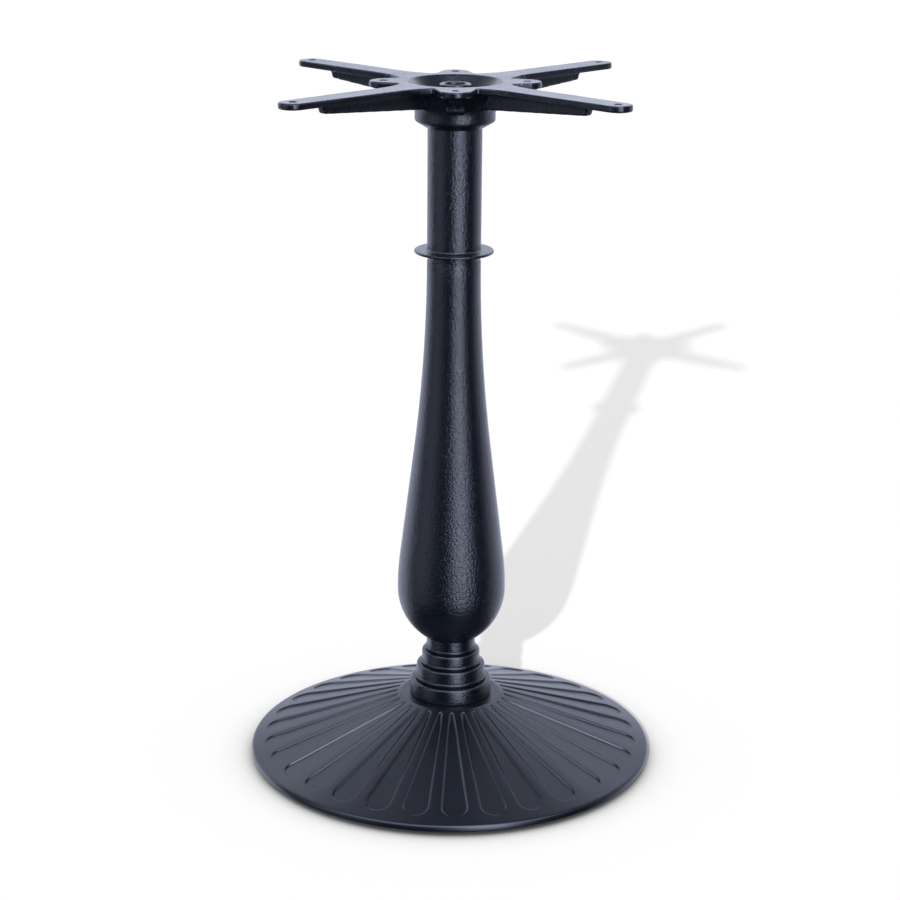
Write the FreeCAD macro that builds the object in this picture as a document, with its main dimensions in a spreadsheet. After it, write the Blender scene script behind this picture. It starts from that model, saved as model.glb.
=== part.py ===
import FreeCAD, Part
import math
import os
import Sketcher
from enum import IntEnum, auto
from types import SimpleNamespace
from FreeCAD import Placement, Rotation, Vector

# A cast-iron pedestal table base: dished fluted foot plate, baluster column and table-top spider,
# clamped together by one tie rod and standing on four levelling glides.
# Millimetres, +Z up, origin on the column's axis at floor level.

SIZES = {
    # The whole stand
    "overall_height": 720,
    "fit_clearance": 0.4,
    "rib_overlap": 1,
    # Base casting: seat, cone and rim
    "seat_height": 66.5,
    "seat_radius": 52.5,
    "rim_radius": 213.5,
    "rim_lift": 4.5,
    "rim_thickness": 6,
    "rim_round": 4,
    "rim_foot_round": 1.2,
    "rim_land": 11,
    "shell_thickness": 6.5,
    "spigot_height": 4,
    "centre_boss_radius": 32,
    "centre_boss_depth": 22,
    "base_rib_thickness": 7,
    "base_rib_end_lift": 6,
    "base_turn": 1.5,
    # Base casting: the flutes
    "flute_count": 30,
    "flute_start_gap": 4,
    "flute_end_gap": 18,
    "flute_inner_width": 4.6,
    "flute_outer_width": 27,
    "flute_depth": 2.3,
    "flute_draft": 30,
    # Levelling glides
    "glide_count": 4,
    "glide_circle_radius": 165,
    "glide_boss_radius": 12,
    "glide_thread_depth": 13,
    "glide_pad_radius": 13,
    "glide_pad_height": 6,
    "glide_pad_round": 1.5,
    "glide_gap": 0.3,
    "stud_radius": 4,
    "stud_play": 0.3,
    "stud_sink": 4,
    "stud_tip_gap": 1,
    "stud_chamfer": 0.8,
    # Column casting: stepped foot and neck
    "foot_radius": 43.2,
    "foot_height": 21.7,
    "second_tier_radius": 36.3,
    "second_tier_height": 17.8,
    "first_tier_radius": 30.7,
    "first_tier_height": 14.5,
    "neck_radius": 25.7,
    "neck_length": 8,
    "tier_round": 4,
    "tier_groove": 0.8,
    "tier_bead": 0.8,
    "foot_edge_round": 1.2,
    # Column casting: bulb and taper
    "bulb_radius": 56.8,
    "bulb_under_radius": 64.3,
    "bulb_over_radius": 299,
    "taper_straight": 120,
    "waist_radius": 27.5,
    # Column casting: ring and tube
    "ring_height": 481.7,
    "ring_radius": 40.5,
    "ring_thickness": 3,
    "ring_round": 1.1,
    "ring_fillet": 2.5,
    "ring_neck_radius": 26.8,
    "ring_neck_length": 8,
    "tube_radius": 27.5,
    "tube_chamfer": 1,
    "column_wall": 6.5,
    "foot_wall": 7.5,
    "foot_bore_depth": 14,
    # Spider: hub
    "spider_depth": 46,
    "socket_depth": 16,
    "collar_lip": 1.2,
    "collar_radius": 40.5,
    "collar_bevel_height": 6.8,
    "collar_height": 20,
    "hub_flare_radius": 53,
    "hub_flare_curve": 25,
    "top_ring_radius": 60,
    "plate_thickness": 6.6,
    "bowl_radius": 47.5,
    "bowl_edge": 1,
    "bowl_depth": 18,
    "bowl_floor_radius": 30,
    "bowl_curve_radius": 30,
    "nut_boss_radius": 16.2,
    "nut_boss_drop": 2.5,
    "nut_well_radius": 11,
    "nut_well_depth": 20,
    # Spider: arms
    "arm_count": 4,
    "arm_root_width": 48,
    "arm_neck_reach": 76,
    "arm_neck_width": 30,
    "arm_root_curve": 34,
    "arm_tip_width": 28,
    "arm_hole_circle_radius": 213.5,
    "arm_hole_radius": 3.5,
    "arm_rib_width": 10,
    "arm_rib_reach": 181,
    "arm_rib_end_slant": 4,
    "arm_rib_end_depth": 15,
    # Spider: lugs
    "lug_root_width": 42,
    "lug_tip_width": 28,
    "lug_side_reach": 77,
    "lug_reach": 86,
    "lug_end_radius": 17,
    "lug_hole_circle_radius": 71.5,
    "lug_hole_radius": 3.5,
    "web_width": 15,
    "web_foot": 4,
    # Tie rod and its fasteners
    "rod_radius": 5,
    "rod_chamfer": 1,
    "rod_play": 0.5,
    "rod_end_stand": 3,
    "thread_gap": 0.05,
    "nut_width": 16,
    "nut_height": 8,
    "nut_chamfer": 0.8,
    "washer_radius": 10.5,
    "washer_thickness": 2,
    "plate_washer_radius": 22,
    "plate_washer_thickness": 4,
}

SHEET = "Sizes"
FULL_TURN = 360
DIAGONAL = 45
VERTICAL_AXIS = Vector(0, 0, 1)

# How a sketch numbers its own axes and its origin
X_AXIS = -1
Y_AXIS = -2
ORIGIN = (-1, 1)


class End(IntEnum):
    """How a sketch numbers the points of an edge."""

    START = auto()
    FINISH = auto()
    CENTRE = auto()


class Dim:
    """A size: its number now, and the sheet expression that keeps a feature bound to it."""

    def __init__(self, number, text=None):
        self.number = float(number)
        self.text = text or repr(number)

    def joined(self, sign, other, number):
        return Dim(number, f"({self.text} {sign} {other.text})")

    def __add__(self, other):
        other = as_dim(other)
        return self.joined("+", other, self.number + other.number)

    def __sub__(self, other):
        other = as_dim(other)
        return self.joined("-", other, self.number - other.number)

    def __mul__(self, other):
        other = as_dim(other)
        return self.joined("*", other, self.number * other.number)

    def __truediv__(self, other):
        other = as_dim(other)
        return self.joined("/", other, self.number / other.number)

    def __neg__(self):
        return ZERO - self

    def root(self):
        return Dim(math.sqrt(self.number), f"sqrt({self.text})")


def as_dim(value):
    return value if isinstance(value, Dim) else Dim(value)


ZERO = Dim(0)
TWO = Dim(2)
THREE = Dim(3)


doc = FreeCAD.newDocument("PedestalTableBase")


def make_sheet():
    """Write every driving size to the sheet and hand back one Dim for each."""
    sheet = doc.addObject("Spreadsheet::Sheet", SHEET)
    for row, (name, value) in enumerate(SIZES.items(), start=1):
        sheet.set(f"A{row}", name)
        sheet.set(f"B{row}", str(value))
        sheet.setAlias(f"B{row}", name)
    doc.recompute()
    return SimpleNamespace(**{name: Dim(value, f"{SHEET}.{name}") for name, value in SIZES.items()})


d = make_sheet()


def new_body(label):
    body = doc.addObject("PartDesign::Body", label)
    body.Label = label
    return body


def origin_feature(body, role):
    return next(item for item in body.Origin.OriginFeatures if item.Role == role)


def new_sketch(body, name, role, level=None, turn=None):
    """A sketch on an origin plane, lifted along its normal or turned about its own vertical."""
    sketch = body.newObject("Sketcher::SketchObject", name)
    sketch.AttachmentSupport = [(origin_feature(body, role), "")]
    sketch.MapMode = "FlatFace"
    if turn is not None:
        upright = Vector(0, 1, 0) if role == "XZ_Plane" else VERTICAL_AXIS
        sketch.AttachmentOffset = Placement(Vector(), Rotation(upright, turn))
    if level is not None:
        sketch.setExpression("AttachmentOffset.Base.z", level.text)
    return sketch


def hold(sketch, kind, value, *geometry):
    """Add one dimension and bind it to the sheet."""
    index = sketch.addConstraint(Sketcher.Constraint(kind, *geometry, value.number))
    sketch.setExpression(f"Constraints[{index}]", value.text)


def hold_point(sketch, edge, end, x, y):
    """Hold a point at (x, y) from the sketch's origin."""
    for kind, value, axis in (("DistanceX", x, Y_AXIS), ("DistanceY", y, X_AXIS)):
        if value is ZERO:
            sketch.addConstraint(Sketcher.Constraint("PointOnObject", edge, end, axis))
        elif value.number < 0:
            hold(sketch, kind, -value, edge, end, *ORIGIN)
        else:
            hold(sketch, kind, value, *ORIGIN, edge, end)


def arc_between(start, finish, radius, turn):
    """The shorter arc from start to finish that turns left or right."""
    chord = finish - start
    height = math.sqrt(max(radius**2 - chord.Length**2 / 4, 0))
    left = Vector(-chord.y, chord.x, 0).normalize()
    side = 1 if turn == "left" else -1
    centre = (start + finish) * 0.5 + left * height * side
    first, last = (start, finish) if turn == "left" else (finish, start)
    angles = [math.atan2(point.y - centre.y, point.x - centre.x) for point in (first, last)]
    return Part.ArcOfCircle(Part.Circle(centre, VERTICAL_AXIS, radius), *angles)


def draw_outline(sketch, corners):
    """Close a loop: (x, y) starts a straight edge, (x, y, radius, turn) starts an arc."""
    ends = []
    for index, corner in enumerate(corners):
        after = corners[(index + 1) % len(corners)]
        start = Vector(corner[0].number, corner[1].number, 0)
        finish = Vector(after[0].number, after[1].number, 0)
        if len(corner) == 2:
            edge = sketch.addGeometry(Part.LineSegment(start, finish), False)
            ends.append((edge, End.START, End.FINISH))
            continue
        radius, turn = corner[2:]
        edge = sketch.addGeometry(arc_between(start, finish, radius.number, turn), False)
        ends.append((edge, End.START, End.FINISH) if turn == "left" else (edge, End.FINISH, End.START))
    for index, corner in enumerate(corners):
        edge, begins, _ = ends[index]
        before, _, finishes = ends[index - 1]
        sketch.addConstraint(Sketcher.Constraint("Coincident", before, finishes, edge, begins))
        hold_point(sketch, edge, begins, corner[0], corner[1])
        if len(corner) > 2:
            hold(sketch, "Radius", corner[2], edge)


def draw_circle(sketch, x, y, radius):
    middle = Vector(x.number, y.number, 0)
    edge = sketch.addGeometry(Part.Circle(middle, VERTICAL_AXIS, radius.number), False)
    hold_point(sketch, edge, End.CENTRE, x, y)
    hold(sketch, "Radius", radius, edge)


def mirrored(corners):
    """A loop symmetric about the sketch's X axis, from its lower half drawn outwards."""
    upper = []
    for index in range(len(corners) - 1, -1, -1):
        x, y = corners[index][:2]
        arc = corners[index - 1][2:] if index else ()
        if y is not ZERO:
            upper.append((x, -y, *arc))
        elif arc:
            corners[index] = (x, y, *arc)
    return corners + upper


def turned(body, name, corners, kind="Revolution"):
    """Spin an outline in the XZ plane about the vertical axis, adding or cutting."""
    sketch = new_sketch(body, name + "Sketch", "XZ_Plane")
    draw_outline(sketch, corners)
    feature = body.newObject("PartDesign::" + kind, name)
    feature.Profile = sketch
    feature.ReferenceAxis = (sketch, ["V_Axis"])
    feature.Angle = FULL_TURN
    return feature


def pad(body, name, sketch, length, downward=False, symmetric=False):
    feature = body.newObject("PartDesign::Pad", name)
    feature.Profile = sketch
    feature.setExpression("Length", length.text)
    feature.Reversed = downward
    if symmetric:
        feature.SideType = "Symmetric"
    return feature


def pocket(body, name, sketch, depth=None, upward=False):
    """Cut a sketch down to a depth, or right through."""
    feature = body.newObject("PartDesign::Pocket", name)
    feature.Profile = sketch
    feature.Reversed = upward
    if depth is None:
        feature.Type = "ThroughAll"
    else:
        feature.setExpression("Length", depth.text)
    return feature


def polar_pattern(body, name, features, count):
    feature = body.newObject("PartDesign::PolarPattern", name)
    feature.Originals = features
    feature.Axis = (origin_feature(body, "Z_Axis"), [""])
    feature.Angle = FULL_TURN
    feature.setExpression("Occurrences", count.text)
    body.Tip = feature
    return feature


# Levels and radii that several pieces share
rim_crest = d.rim_lift + d.rim_thickness
cone_run = d.rim_radius - d.seat_radius
cone_fall = d.seat_height - rim_crest
cone_slant = (cone_run * cone_run + cone_fall * cone_fall).root()
shell_upright = d.shell_thickness * cone_slant / cone_run
rod_hole_radius = d.rod_radius + d.rod_play
foot_bore_radius = d.foot_radius - d.foot_wall
centre_boss_bottom = d.seat_height - d.centre_boss_depth
glide_boss_bottom = d.glide_pad_height + d.glide_gap
spider_bottom = d.overall_height - d.spider_depth
tube_top = spider_bottom + d.socket_depth
nut_well_floor = d.overall_height - d.nut_well_depth


def cone_height(radius):
    """Height of the fluted cone above the floor at a radius."""
    return d.seat_height - (radius - d.seat_radius) * cone_fall / cone_run


def cut_flutes(body):
    """Sink one tapered flute along the cone towards -Y, then repeat it all the way round."""
    sketch = body.newObject("Sketcher::SketchObject", "FluteSketch")
    sketch.AttachmentSupport = [(origin_feature(body, "XY_Plane"), "")]
    sketch.MapMode = "FlatFace"
    slope = math.degrees(math.atan2(cone_fall.number, cone_run.number))
    sketch.AttachmentOffset = Placement(Vector(), Rotation(Vector(1, 0, 0), slope))
    sketch.setExpression("AttachmentOffset.Rotation.Angle", f"atan({(cone_fall / cone_run).text})")
    sketch.setExpression("AttachmentOffset.Base.y", (-d.seat_radius).text)
    sketch.setExpression("AttachmentOffset.Base.z", d.seat_height.text)
    inner_half = d.flute_inner_width / TWO
    outer_half = d.flute_outer_width / TWO
    inner_end = -d.flute_start_gap
    outer_end = d.flute_end_gap - cone_slant
    draw_outline(sketch, [
        (ZERO, inner_end, inner_half, "left"),
        (-inner_half, inner_end - inner_half),
        (-outer_half, outer_end + outer_half, outer_half, "left"),
        (ZERO, outer_end, outer_half, "left"),
        (outer_half, outer_end + outer_half),
        (inner_half, inner_end - inner_half, inner_half, "left"),
    ])
    flute = pocket(body, "Flute", sketch, d.flute_depth)
    flute.setExpression("TaperAngle", (-d.flute_draft).text)
    polar_pattern(body, "Flutes", [flute], d.flute_count)


def make_base():
    """The dished foot plate: turned shell, glide bosses, ribs and flutes."""
    body = new_body("base_casting")
    land_radius = d.rim_radius - d.rim_land
    edge_cut = d.rim_round * (cone_slant - cone_fall) / cone_run
    spigot_radius = foot_bore_radius - d.fit_clearance
    spigot_top = d.seat_height + d.spigot_height
    turned(body, "Dish", [
        (rod_hole_radius, spigot_top),
        (rod_hole_radius, centre_boss_bottom),
        (d.centre_boss_radius, centre_boss_bottom),
        (d.centre_boss_radius, d.seat_height - shell_upright),
        (d.seat_radius, d.seat_height - shell_upright),
        (land_radius, cone_height(land_radius) - shell_upright),
        (land_radius, d.rim_lift),
        (d.rim_radius - d.rim_foot_round, d.rim_lift, d.rim_foot_round, "left"),
        (d.rim_radius, d.rim_lift + d.rim_foot_round),
        (d.rim_radius, rim_crest - edge_cut, d.rim_round, "left"),
        (d.rim_radius - edge_cut * cone_run / cone_slant, rim_crest + edge_cut * cone_fall / cone_slant),
        (d.seat_radius, d.seat_height),
        (spigot_radius, d.seat_height),
        (spigot_radius, spigot_top),
    ])
    on_diagonal = d.glide_circle_radius / TWO.root()
    boss_sketch = new_sketch(body, "GlideBossSketch", "XY_Plane", glide_boss_bottom)
    draw_circle(boss_sketch, on_diagonal, on_diagonal, d.glide_boss_radius)
    doc.recompute()
    boss = body.newObject("PartDesign::Pad", "GlideBoss")
    boss.Profile = boss_sketch
    boss.Type = "UpToFirst"
    doc.recompute()
    rib_inner = d.centre_boss_radius - d.rib_overlap
    rib_outer = d.glide_circle_radius
    rib_sink = (shell_upright - d.flute_depth) / TWO
    rib_sketch = new_sketch(body, "RibSketch", "XZ_Plane", turn=DIAGONAL)
    draw_outline(rib_sketch, [
        (rib_inner, centre_boss_bottom),
        (rib_outer, glide_boss_bottom + d.base_rib_end_lift),
        (rib_outer, cone_height(rib_outer) - shell_upright + rib_sink),
        (d.seat_radius, d.seat_height - shell_upright + rib_sink),
        (rib_inner, d.seat_height - shell_upright + rib_sink),
    ])
    rib = pad(body, "Rib", rib_sketch, d.base_rib_thickness, symmetric=True)
    hole_sketch = new_sketch(body, "GlideHoleSketch", "XY_Plane", glide_boss_bottom)
    draw_circle(hole_sketch, on_diagonal, on_diagonal, d.stud_radius + d.stud_play)
    hole = pocket(body, "GlideHole", hole_sketch, d.glide_thread_depth, upward=True)
    polar_pattern(body, "GlideBosses", [boss, rib, hole], d.glide_count)
    cut_flutes(body)
    body.Placement = Placement(Vector(), Rotation(VERTICAL_AXIS, d.base_turn.number))
    body.setExpression("Placement.Rotation.Angle", d.base_turn.text)
    return body


def baluster_points():
    """Corners of the bulb and taper above the seat: arcs joined by a straight common tangent."""
    tiers = d.foot_height + d.second_tier_height + d.first_tier_height
    neck_top = tiers + d.tier_groove + d.tier_bead * TWO + d.neck_length
    over_x = d.bulb_radius - d.bulb_over_radius
    under_x = d.bulb_radius - d.bulb_under_radius

    def neck_drop(inset):
        """How far below the bulb's widest level its underside meets the neck."""
        under = d.bulb_under_radius - inset
        reach_in = d.neck_radius - inset - under_x
        return (under * under - reach_in * reach_in).root()

    bulb_level = neck_top + neck_drop(ZERO)
    waist_height = d.ring_height - d.ring_thickness / TWO - d.ring_neck_length
    along = waist_height - bulb_level
    waist_in = d.waist_radius - over_x
    straight = d.taper_straight
    spare = waist_in * waist_in + along * along - d.bulb_over_radius * d.bulb_over_radius
    flare_radius = (spare - straight * straight) / ((d.bulb_radius - d.waist_radius) * TWO)
    flare_x = d.waist_radius + flare_radius
    across = flare_x - over_x
    square = across * across + along * along
    reach = d.bulb_over_radius + flare_radius
    normal_x = (across * reach + along * straight) / square
    normal_y = (along * reach - across * straight) / square

    def points(inset):
        """The outer line, or a core line that lies inset from it."""
        over = d.bulb_over_radius - inset
        flare = flare_radius + inset
        return [
            (d.neck_radius - inset, bulb_level - neck_drop(inset), d.bulb_under_radius - inset, "left"),
            (d.bulb_radius - inset, bulb_level, over, "left"),
            (over_x + over * normal_x, bulb_level + over * normal_y),
            (flare_x - flare * normal_x, waist_height - flare * normal_y, flare, "right"),
            (d.waist_radius - inset, waist_height),
        ]

    return points


def tier_points():
    """Corners of the stepped foot, from the seat up to the neck."""
    corners = [
        (d.foot_radius - d.foot_edge_round, ZERO, d.foot_edge_round, "left"),
        (d.foot_radius, d.foot_edge_round),
    ]
    radii = [d.foot_radius, d.second_tier_radius, d.first_tier_radius, d.neck_radius]
    top = ZERO
    for index, height in enumerate((d.foot_height, d.second_tier_height, d.first_tier_height)):
        lower, upper = radii[index], radii[index + 1]
        top = top + height
        bead_foot = top + d.tier_groove
        corners += [
            (lower, top - d.tier_round, d.tier_round, "left"),
            (lower - d.tier_round, top),
            (upper, top),
            (upper, bead_foot, d.tier_bead, "left"),
            (upper + d.tier_bead, bead_foot + d.tier_bead, d.tier_bead, "left"),
            (upper, bead_foot + d.tier_bead * TWO),
        ]
    return corners


def make_column():
    """The hollow baluster column, drawn from its seat upwards."""
    body = new_body("column_casting")
    length = tube_top - d.seat_height
    ring_bottom = d.ring_height - d.ring_thickness / TWO
    ring_top = ring_bottom + d.ring_thickness
    ring_edge = d.ring_radius - d.ring_round
    waist_height = ring_bottom - d.ring_neck_length
    baluster = baluster_points()
    turned(body, "Baluster", [
        (ZERO, ZERO),
        *tier_points(),
        *baluster(ZERO),
        (d.ring_neck_radius, waist_height + d.waist_radius - d.ring_neck_radius),
        (d.ring_neck_radius, ring_bottom - d.ring_fillet, d.ring_fillet, "right"),
        (d.ring_neck_radius + d.ring_fillet, ring_bottom),
        (ring_edge, ring_bottom, d.ring_round, "left"),
        (d.ring_radius, ring_bottom + d.ring_round),
        (d.ring_radius, ring_top - d.ring_round, d.ring_round, "left"),
        (ring_edge, ring_top),
        (d.tube_radius + d.ring_fillet, ring_top, d.ring_fillet, "right"),
        (d.tube_radius, ring_top + d.ring_fillet),
        (d.tube_radius, length - d.tube_chamfer),
        (d.tube_radius - d.tube_chamfer, length),
        (ZERO, length),
    ])
    neck_bore = d.neck_radius - d.column_wall
    turned(body, "Core", [
        (ZERO, ZERO),
        (foot_bore_radius, ZERO),
        (foot_bore_radius, d.foot_bore_depth),
        (neck_bore, d.foot_height + d.second_tier_height),
        *baluster(d.column_wall),
        (d.waist_radius - d.column_wall, length),
        (ZERO, length),
    ], "Groove")
    body.setExpression("Placement.Base.z", d.seat_height.text)
    return body


def make_spider():
    """The table-top bracket: turned hub, four ribbed arms and four webbed lugs."""
    body = new_body("top_spider")
    top = d.spider_depth
    plate_under = top - d.plate_thickness
    socket_radius = d.tube_radius + d.fit_clearance
    bowl_floor = top - d.bowl_depth
    boss_top = top - d.nut_boss_drop
    well_floor = top - d.nut_well_depth
    turned(body, "Hub", [
        (socket_radius, ZERO),
        (socket_radius + d.collar_lip, ZERO),
        (d.collar_radius, d.collar_bevel_height),
        (d.collar_radius, d.collar_height, d.hub_flare_curve, "right"),
        (d.hub_flare_radius, plate_under),
        (d.top_ring_radius, plate_under),
        (d.top_ring_radius, top),
        (d.bowl_radius + d.bowl_edge, top),
        (d.bowl_radius, top - d.bowl_edge, d.bowl_curve_radius, "right"),
        (d.bowl_floor_radius, bowl_floor),
        (d.nut_boss_radius, bowl_floor),
        (d.nut_boss_radius, boss_top),
        (d.nut_well_radius, boss_top),
        (d.nut_well_radius, well_floor),
        (rod_hole_radius, well_floor),
        (rod_hole_radius, d.socket_depth),
        (socket_radius, d.socket_depth),
    ])
    inside_ring = (d.bowl_radius + d.top_ring_radius) / TWO
    in_plate = plate_under + d.rib_overlap / TWO
    wall_low = (d.bowl_floor_radius, d.collar_height + d.rib_overlap)
    wall_high = (d.bowl_radius + d.bowl_edge, in_plate)

    arm_sketch = new_sketch(body, "ArmSketch", "XY_Plane", top, DIAGONAL)
    half_tip = d.arm_tip_width / TWO
    draw_outline(arm_sketch, mirrored([
        (inside_ring, -d.arm_root_width / TWO, d.arm_root_curve, "right"),
        (d.arm_neck_reach, -d.arm_neck_width / TWO),
        (d.arm_hole_circle_radius, -half_tip, half_tip, "left"),
        (d.arm_hole_circle_radius + half_tip, ZERO),
    ]))
    arm = pad(body, "Arm", arm_sketch, d.plate_thickness, downward=True)
    rib_sketch = new_sketch(body, "ArmRibSketch", "XZ_Plane", turn=DIAGONAL)
    draw_outline(rib_sketch, [
        wall_low,
        (d.arm_rib_reach - d.arm_rib_end_slant, top - d.arm_rib_end_depth),
        (d.arm_rib_reach, in_plate),
        wall_high,
    ])
    rib = pad(body, "ArmRib", rib_sketch, d.arm_rib_width, symmetric=True)
    arm_hole_sketch = new_sketch(body, "ArmHoleSketch", "XY_Plane", top, DIAGONAL)
    draw_circle(arm_hole_sketch, d.arm_hole_circle_radius, ZERO, d.arm_hole_radius)
    arm_hole = pocket(body, "ArmHole", arm_hole_sketch)
    polar_pattern(body, "Arms", [arm, rib, arm_hole], d.arm_count)

    lug_sketch = new_sketch(body, "LugSketch", "XY_Plane", top)
    draw_outline(lug_sketch, mirrored([
        (inside_ring, -d.lug_root_width / TWO),
        (d.lug_side_reach, -d.lug_tip_width / TWO, d.lug_end_radius, "left"),
        (d.lug_reach, ZERO),
    ]))
    lug = pad(body, "Lug", lug_sketch, d.plate_thickness, downward=True)
    web_rise = plate_under - d.collar_height
    web_bottom = d.collar_radius + d.web_foot
    web_sketch = new_sketch(body, "LugWebSketch", "XZ_Plane")
    draw_outline(web_sketch, [
        (d.bowl_floor_radius, d.collar_height),
        (web_bottom, d.collar_height, web_rise, "right"),
        (web_bottom + web_rise, plate_under),
        (web_bottom + web_rise, in_plate),
        wall_high,
    ])
    web = pad(body, "LugWeb", web_sketch, d.web_width, symmetric=True)
    lug_hole_sketch = new_sketch(body, "LugHoleSketch", "XY_Plane", top)
    draw_circle(lug_hole_sketch, d.lug_hole_circle_radius, ZERO, d.lug_hole_radius)
    lug_hole = pocket(body, "LugHole", lug_hole_sketch)
    polar_pattern(body, "Lugs", [lug, web, lug_hole], d.arm_count)
    body.setExpression("Placement.Base.z", spider_bottom.text)
    return body


def make_rod():
    """The tie rod, from below the bottom nut to just above the top nut."""
    body = new_body("tie_rod")
    under_nut = d.plate_washer_thickness + d.nut_height + d.rod_end_stand
    bottom = centre_boss_bottom - under_nut
    above = d.washer_thickness + d.nut_height + d.rod_end_stand
    length = nut_well_floor + above - bottom
    inner = d.rod_radius - d.rod_chamfer
    turned(body, "Rod", [
        (ZERO, ZERO),
        (inner, ZERO),
        (d.rod_radius, d.rod_chamfer),
        (d.rod_radius, length - d.rod_chamfer),
        (inner, length),
        (ZERO, length),
    ])
    body.setExpression("Placement.Base.z", bottom.text)
    return body


def make_washer(label, radius, thickness, bottom):
    body = new_body(label)
    sketch = new_sketch(body, "WasherSketch", "XY_Plane")
    draw_circle(sketch, ZERO, ZERO, radius)
    draw_circle(sketch, ZERO, ZERO, rod_hole_radius)
    pad(body, "Washer", sketch, thickness)
    body.setExpression("Placement.Base.z", bottom.text)
    return body


def make_nut(label, bottom):
    """A hexagon nut with its outer corners turned off at both ends."""
    body = new_body(label)
    corner = d.nut_width / THREE.root()
    flat = d.nut_width / TWO
    half = corner / TWO
    sketch = new_sketch(body, "NutSketch", "XY_Plane")
    draw_outline(sketch, [
        (corner, ZERO),
        (half, flat),
        (-half, flat),
        (-corner, ZERO),
        (-half, -flat),
        (half, -flat),
    ])
    draw_circle(sketch, ZERO, ZERO, d.rod_radius + d.thread_gap)
    pad(body, "Nut", sketch, d.nut_height)
    beyond = corner + d.nut_chamfer
    drop = d.nut_chamfer * TWO
    turned(body, "LowerCorners", [(flat, ZERO), (beyond, ZERO), (beyond, drop)], "Groove")
    upper = [(flat, d.nut_height), (beyond, d.nut_height), (beyond, d.nut_height - drop)]
    turned(body, "UpperCorners", upper, "Groove")
    body.setExpression("Placement.Base.z", bottom.text)
    return body


def place_on_glide_circle(body, number):
    """Stand a glide's piece on its diagonal, turned with the base."""
    angle = f"{DIAGONAL} + {FULL_TURN} * {number} / {d.glide_count.text} + {d.base_turn.text}"
    body.setExpression("Placement.Base.x", f"{d.glide_circle_radius.text} * cos({angle})")
    body.setExpression("Placement.Base.y", f"{d.glide_circle_radius.text} * sin({angle})")


def make_glide(number):
    """One levelling glide: a moulded pad and the stud that screws into the base."""
    pad_body = new_body(f"glide_pad_{number + 1}")
    stud_hole = d.stud_radius + d.thread_gap
    stud_foot = d.glide_pad_height - d.stud_sink
    shoulder = d.glide_pad_radius - d.glide_pad_round
    turned(pad_body, "Pad", [
        (ZERO, ZERO),
        (shoulder, ZERO, d.glide_pad_round, "left"),
        (d.glide_pad_radius, d.glide_pad_round),
        (d.glide_pad_radius, d.glide_pad_height - d.glide_pad_round),
        (shoulder, d.glide_pad_height),
        (stud_hole, d.glide_pad_height),
        (stud_hole, stud_foot),
        (ZERO, stud_foot),
    ])
    place_on_glide_circle(pad_body, number)

    stud_body = new_body(f"glide_stud_{number + 1}")
    stud_top = glide_boss_bottom + d.glide_thread_depth - d.stud_tip_gap
    stud_inner = d.stud_radius - d.stud_chamfer
    turned(stud_body, "Stud", [
        (ZERO, stud_foot),
        (d.stud_radius, stud_foot),
        (d.stud_radius, stud_top - d.stud_chamfer),
        (stud_inner, stud_top),
        (ZERO, stud_top),
    ])
    place_on_glide_circle(stud_body, number)
    return [pad_body, stud_body]


def build():
    washer_bottom = centre_boss_bottom - d.plate_washer_thickness
    pieces = [
        make_base(),
        make_column(),
        make_spider(),
        make_rod(),
        make_washer("top_washer", d.washer_radius, d.washer_thickness, nut_well_floor),
        make_nut("top_nut", nut_well_floor + d.washer_thickness),
        make_washer("bottom_plate_washer", d.plate_washer_radius, d.plate_washer_thickness, washer_bottom),
        make_nut("bottom_nut", washer_bottom - d.nut_height),
    ]
    for number in range(SIZES["glide_count"]):
        pieces += make_glide(number)
    doc.recompute()
    return pieces


def check(pieces):
    """Stop if anything failed to rebuild or a piece is not one sound solid."""
    for item in doc.Objects:
        if "Invalid" in item.State or "Error" in item.State:
            raise RuntimeError(f"{item.Name} failed: {item.State}")
    for piece in pieces:
        shape = piece.Shape
        if shape.isNull() or not shape.isValid() or len(shape.Solids) != 1:
            raise RuntimeError(f"{piece.Label} is not one sound solid")


def export(pieces):
    os.makedirs("parts", exist_ok=True)
    for piece in pieces:
        piece.Shape.exportStep(f"parts/{piece.Label}.step")
        box = piece.Shape.optimalBoundingBox(False, False)
        print(f"{piece.Label}: volume {piece.Shape.Volume:.0f}, z {box.ZMin:.2f} to {box.ZMax:.2f}")


pieces = build()
check(pieces)
export(pieces)
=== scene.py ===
# %% [markdown]
# A cast-iron pedestal table base, dressed for its portrait.
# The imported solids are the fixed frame, so nothing here moves or resizes them.
# The three castings are modelled again with the soft edges that sand casting and powder coat leave,
# and every piece gets the finish of the real one.

# %% Load the frame
import math
import bpy
from mathutils import Matrix, Vector


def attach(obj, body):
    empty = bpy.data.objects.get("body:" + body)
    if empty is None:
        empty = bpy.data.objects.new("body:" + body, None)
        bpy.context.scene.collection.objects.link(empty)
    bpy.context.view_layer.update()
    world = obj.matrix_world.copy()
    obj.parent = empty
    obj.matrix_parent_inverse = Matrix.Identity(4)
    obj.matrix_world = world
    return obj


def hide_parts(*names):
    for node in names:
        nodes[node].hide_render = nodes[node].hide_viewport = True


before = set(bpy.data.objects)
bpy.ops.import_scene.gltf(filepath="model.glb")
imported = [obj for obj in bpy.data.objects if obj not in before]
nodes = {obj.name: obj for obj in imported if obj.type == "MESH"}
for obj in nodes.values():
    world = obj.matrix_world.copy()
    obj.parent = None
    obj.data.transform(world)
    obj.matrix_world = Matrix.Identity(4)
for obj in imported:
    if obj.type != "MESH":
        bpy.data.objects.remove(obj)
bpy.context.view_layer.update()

bpy.ops.object.select_all(action="DESELECT")
print("pieces in the frame:", len(nodes))

# %% [markdown]
# The photograph was taken from a little above table height, with a long lens.
# A camera can be placed by eye, but here it was fitted to the rim's ellipse and the spider's tips,
# so its height, tilt and lens are measured values. The small roll is the photograph's own.

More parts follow.
